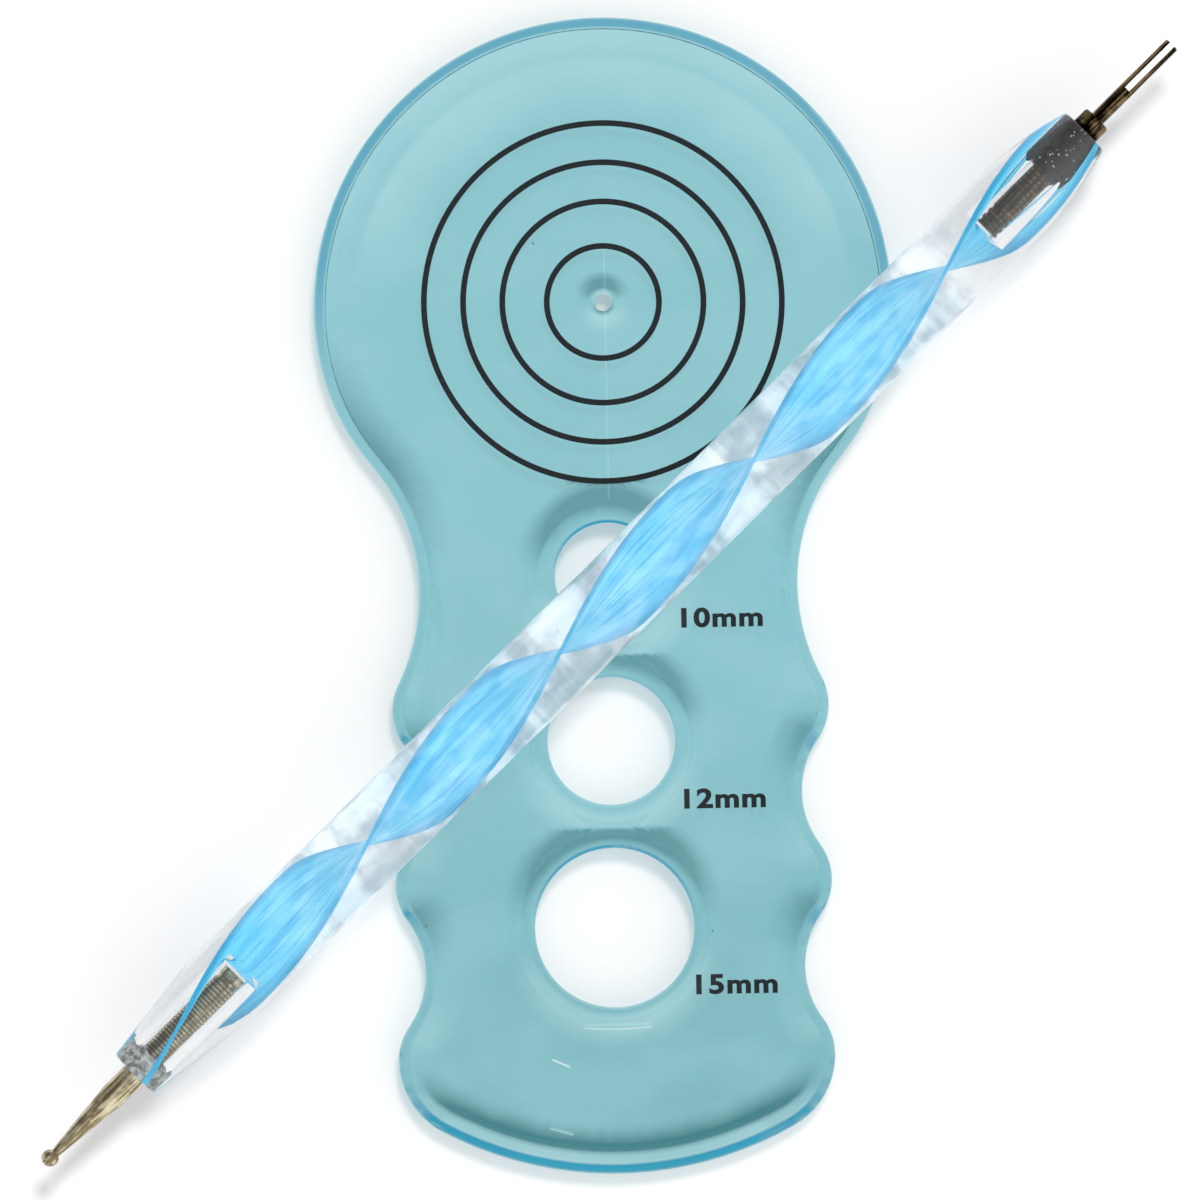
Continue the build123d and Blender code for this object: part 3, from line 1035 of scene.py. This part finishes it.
def ribbon_shape():
    """Geometry tree of a strip that is wound about the pen's axis."""
    shape = Shape("ribbon_shape")
    length = shape.size("Length", handle_length)
    half_width = shape.size("Half Width", ribbon_width / 2)
    thickness = shape.size("Thickness", ribbon_thickness)
    half = shape.size("Half Turn", half_turn)
    upright = shape.size("Upright", upright_x)
    grid = {"Size X": 1.0, "Size Y": 2.0, "Vertices X": ribbon_rows, "Vertices Y": ribbon_columns}
    sheet = shape.node("GeometryNodeMeshGrid", {}, grid)
    u, v, _ = shape.parts(shape.node("GeometryNodeInputPosition"))
    x = (u + 0.5) * length

    skin = ribbon_cover + face_round
    slope = (handle_r - stylus_face_r + face_round) / stylus_taper
    stylus_side = x * slope + (stylus_face_r - skin)
    drop = handle_r - needle_face_r + face_round
    radius = (needle_taper**2 + drop**2) / (2 * drop)
    past = shape.math("MAXIMUM", x - (length - needle_taper), 0.0)
    curve = shape.math("SQRT", radius * radius - past * past)
    needle_side = curve + (handle_r - ribbon_cover - radius)
    outer = shape.math("MINIMUM", half_width, shape.math("MINIMUM", stylus_side, needle_side))

    side = shape.math("SIGN", v)
    to_end = stylus_bore + stylus_point - x
    in_stylus = shape.node("ShaderNodeClamp", {}, {0: to_end / stylus_point})
    from_end = x - (length - needle_bore - needle_point)
    in_needle = shape.node("ShaderNodeClamp", {}, {0: from_end / needle_point})
    inner = shape.math("MAXIMUM", in_stylus, in_needle) * bore_r
    kept = side * (inner + abs(v) * (outer - inner))
    flat = shape.joined(x, kept, 0.0)
    sheet = shape.node("GeometryNodeSetPosition", {}, {"Geometry": sheet, "Position": flat})

    along, across, _ = shape.parts(shape.node("GeometryNodeInputPosition"))
    in_stylus = shape.math("LESS_THAN", along, stylus_bore + stylus_point * point_share)
    needle_cut = handle_length - needle_bore - needle_point * point_share
    in_needle = shape.math("GREATER_THAN", along, needle_cut)
    in_bore = shape.math("MAXIMUM", in_stylus, in_needle)
    in_middle = shape.math("LESS_THAN", abs(across), bore_r * bore_share)
    sockets = {"Geometry": sheet, "Selection": in_bore * in_middle}
    sheet = shape.node("GeometryNodeDeleteGeometry", {"domain": "FACE"}, sockets)

    turn = (along - upright) * math.pi / half
    sine, cosine = shape.math("SINE", turn), shape.math("COSINE", turn)
    y = across * sine + thickness * cosine * 0.5
    z = across * cosine - thickness * sine * 0.5
    wound = shape.joined(along, y, z)
    sheet = shape.node("GeometryNodeSetPosition", {}, {"Geometry": sheet, "Position": wound})
    x, _, _ = shape.parts(shape.node("GeometryNodeInputPosition"))
    turn = (x - upright) * math.pi / half
    sine, cosine = shape.math("SINE", turn), shape.math("COSINE", turn)
    back = shape.joined(0.0, thickness * cosine * -1.0, thickness * sine)
    sockets = {"Mesh": sheet, "Offset": back, "Offset Scale": 1.0, "Individual": False}
    walls = shape.node("GeometryNodeExtrudeMesh", {"mode": "FACES"}, sockets)
    front = shape.node("GeometryNodeFlipFaces", {}, {"Mesh": sheet})
    both = shape.tree.nodes.new("GeometryNodeJoinGeometry")
    for part in (walls, front):
        shape.tree.links.new(part.socket, both.inputs[0])
    shape.end(Wire(shape, both.outputs[0]), ribbon_plastic)
    return shape


ribbon = ribbon_shape().piece("twisted_ribbon", ribbon_plastic)
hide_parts("ribbon")
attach(ribbon, "pen")
print("ribbon faces:", len(ribbon.data.polygons))

# %% [markdown]
# ## Metal parts
#
# The CAD shapes of the shank, ball, holder and needle are exact, so smoothed copies of them
# are dressed in metal. The part of the shank inside the handle is ribbed so that the glue can
# grip it: one ring, set out along a line.

# %% Dress the metal parts
metals = {
    "stylus_shank": ("turned_shank", worn_nickel, "stylus_metal"),
    "stylus_ball": ("ball_tip", worn_nickel, "stylus_metal"),
    "needle_holder": ("collared_holder", dark_steel, "needle_metal"),
    "slotted_needle": ("split_needle", dark_steel, "needle_metal"),
}
for node, (name, metal, slot) in metals.items():
    piece = smooth_copy(name, node, metal)
    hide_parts(node)
    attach(piece, "pen")
    print(name, "has", len(piece.data.polygons), "faces")

# %% Set ribs along a rod
shank_r = 1.225
holder_r = 1.2
rib_round = 0.1
rib_bite = 0.03
rib_sides = 56
section_sides = 8
along_pen = (0, math.pi / 2, 0)


def rib_shape(name, start, pitch, count, radius, roundness, material):
    """Geometry tree of rings set out along the pen."""
    shape = Shape(name)
    ring_radius = shape.size("Radius", radius)
    ring_round = shape.size("Roundness", roundness)
    step = shape.size("Pitch", pitch)
    circle = "GeometryNodeCurvePrimitiveCircle"
    ring = shape.node(circle, {}, {"Resolution": rib_sides, "Radius": ring_radius})
    section = shape.node(circle, {}, {"Resolution": section_sides, "Radius": ring_round})
    rib = shape.node("GeometryNodeCurveToMesh", {}, {"Curve": ring, "Profile Curve": section})
    sockets = {"Geometry": rib, "Rotation": along_pen}
    rib = shape.node("GeometryNodeTransform", {}, sockets)
    offset = shape.joined(step, 0.0, 0.0)
    sockets = {"Count": count, "Start Location": (start, 0, 0), "Offset": offset}
    places = shape.node("GeometryNodeMeshLine", {}, sockets)
    sockets = {"Points": places, "Instance": rib}
    shape.end(shape.node("GeometryNodeInstanceOnPoints", {}, sockets), material)
    return shape


rib_line = (rib_start, rib_pitch, rib_count)
ribs = rib_shape("shank_rib_shape", *rib_line, shank_r - rib_bite, rib_round, worn_nickel)
shank_ribs = ribs.piece("shank_ribs", worn_nickel)
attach(shank_ribs, "pen")
print("rib faces:", len(shank_ribs.data.polygons))

# %% [markdown]
# ## Glue and its bubbles
#
# Each plug of glue is spun like the handle, and its inner end wanders, because glue stops
# where it ran to. The bubbles are small balls scattered over the plug, at the wall of the
# bore, where they were trapped.

# %% Spin the glue
glue_bite = 0.02
glue_recess = 0.02
stylus_glue_length = 2.5
needle_glue_length = 5.4
needle_glue_start = handle_length - needle_glue_length


def glue_plug(name, node, mouth, inner_end, ragged, inner, material, slot):
    """A plug of glue from the bore's mouth to a ragged inner end."""
    outer = bore_r + glue_bite
    core = inner - glue_bite
    halfway = (mouth + inner_end) / 2
    profile = [(mouth, core), (mouth, outer), (halfway, outer), (inner_end, outer)]
    profile += [(inner_end, core), (halfway, core), (mouth, core)]
    plug = turned(name, profile, material, ragged=ragged, ragged_x=inner_end)
    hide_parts(node)
    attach(plug, "pen")
    print(name, "has", len(plug.data.polygons), "faces")


stylus_ends = (glue_recess, stylus_glue_length)
needle_ends = (handle_length - glue_recess, needle_glue_start)
glue_plug("pale_glue_plug", "stylus_glue", *stylus_ends, 0.8, shank_r, pale_glue, "glue_grey")
glue_plug("dark_glue_plug", "needle_glue", *needle_ends, 1.8, holder_r, dark_glue, "glue_dark")

# %% Scatter the bubbles
bubble_inset = 0.04
bubble_angle = 60


def bubble_shape(name, start, length, density, smallest, largest, seed, material):
    """Geometry tree of bubbles on a stretch of the bore's wall."""
    shape = Shape(name)
    wall = shape.size("Wall Radius", bore_r - bubble_inset)
    small = shape.size("Smallest", smallest)
    large = shape.size("Largest", largest)
    sockets = {"Vertices": 48, "Side Segments": 12, "Radius": wall, "Depth": length}
    tube = shape.node("GeometryNodeMeshCylinder", {"fill_type": "NONE"}, sockets)
    centre = (start + length / 2, 0, 0)
    sockets = {"Geometry": tube, "Translation": centre, "Rotation": along_pen}
    tube = shape.node("GeometryNodeTransform", {}, sockets)
    sockets = {"Mesh": tube, "Density": density, "Seed": seed}
    places = shape.node("GeometryNodeDistributePointsOnFaces", {}, sockets)
    ball = shape.node("GeometryNodeMeshIcoSphere", {}, {"Radius": 1.0, "Subdivisions": 2})
    size = shape.node("FunctionNodeRandomValue", {}, {2: small, 3: large, 8: seed + 1}, 1)
    sockets = {"Points": places, "Instance": ball, "Scale": size}
    shape.end(shape.node("GeometryNodeInstanceOnPoints", {}, sockets), material)
    return shape


bubble_specs = [
    ("stylus_bubbles", 0.3, 2.3, 1.6, 0.05, 0.13, 3, "glue_grey"),
    ("needle_bubbles", needle_glue_start + 0.4, 4.8, 2.2, 0.04, 0.13, 5, "glue_dark"),
]
for name, start, length, density, smallest, largest, seed, slot in bubble_specs:
    bubbles = bubble_shape(name + "_shape", start, length, density, smallest, largest, seed, air)
    bubbles = bubbles.piece(name, air, bubble_angle)
    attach(bubbles, "pen")
    print(name, "has", len(bubbles.data.polygons), "faces")

# %% [markdown]
# ## Table, light and camera
#
# The tool lies on white. Clear things show what surrounds them, so the surroundings are part
# of the finish here: a sky that is bright on one side and dim on the other gives the rod its
# grey bands and the metal its dark side. To the camera the table is plainly shaded paper with
# a small glow, so that it is white and the tool's soft shadow shows on it. Seen through the
# plastic, or mirrored in it, it mostly glows, because real light is led in from all sides
# there. The lamp stands for a large soft window: it lights things, but its disc isn't mirrored
# in the polished plastic or seen through it.

# %% Lay the table
table_half = 3.0
table_white = 0.88
table_glow = 0.1
covered_glow = 0.7
table_drop = 0.02


def white_table():
    """A white table that shows the tool's shadow."""
    finish = Finish(bpy.data.materials.new("white_table"))
    paper = finish.node("ShaderNodeBsdfDiffuse", {}, {"Color": (table_white,) * 3 + (1,)})
    glow = finish.node("ShaderNodeEmission", {}, {"Color": (1, 1, 1, 1), "Strength": 1.0})
    covered = finish.math("MAXIMUM", finish.ray("Transmission"), finish.ray("Glossy"))
    share = finish.math("MAXIMUM", finish.ray("Camera") * table_glow, covered * covered_glow)
    return finish.surface(finish.blend(share, paper, glow))


builder = bmesh.new()
corners = [Vector((x, y, 0)) * table_half for x, y in ((-1, -1), (1, -1), (1, 1), (-1, 1))]
builder.faces.new([builder.verts.new(corner) for corner in corners])
table_place = Matrix.Translation((0, 0, -table_drop * mm))
table = solid_from("table", builder, white_table(), table_place)
print("table laid")

# %% Light the tool
sky_dim = 0.3
sky_bright = 1.15
lamp_strength = 1.7
lamp_degrees = 12
lamp_from = (0.12, 0.42, 1)
world = bpy.data.worlds.new("studio")
bpy.context.scene.world = world


def studio_sky():
    """Plain sky, bright on one side and dim on the other, and white behind the tool."""
    finish = Finish(world)
    x, y, _ = finish.parts(finish.node("ShaderNodeTexCoord", {}, {}, 0))
    toward = x * 0.6 - y * 0.8
    side = finish.band(toward, -0.9, 0.9, sky_dim, sky_bright)
    sky = finish.node("ShaderNodeBackground", {}, {"Color": (1, 1, 1, 1), "Strength": side})
    white = finish.node("ShaderNodeBackground", {}, {"Color": (1, 1, 1, 1), "Strength": 1.0})
    return finish.surface(finish.blend(finish.ray("Camera"), sky, white))


studio_sky()
sun_data = bpy.data.lights.new("window", "SUN")
sun_data.energy = lamp_strength
sun_data.angle = math.radians(lamp_degrees)
sun = placed("window", sun_data)
sun.rotation_euler = Vector(lamp_from).to_track_quat("Z", "Y").to_euler()
sun.visible_glossy = False
sun.visible_transmission = False
print("lit")

# %% Set the camera
photo_width = 113.2
photo_centre = Vector((-0.80, -28.12, 3.5))
photo_turn = 1.08
camera_height = 2000.0
camera_data = bpy.data.cameras.new("camera")
camera_data.lens = camera_data.sensor_width * camera_height / photo_width
camera_data.clip_end = 100
camera = placed("camera", camera_data)
camera.location = (photo_centre + Vector((0, 0, camera_height))) * mm
camera.rotation_euler = (0, 0, -math.radians(photo_turn))
bpy.context.scene.camera = camera
bpy.context.scene.view_settings.view_transform = "Standard"
print("camera lens:", round(camera_data.lens, 1), "mm")
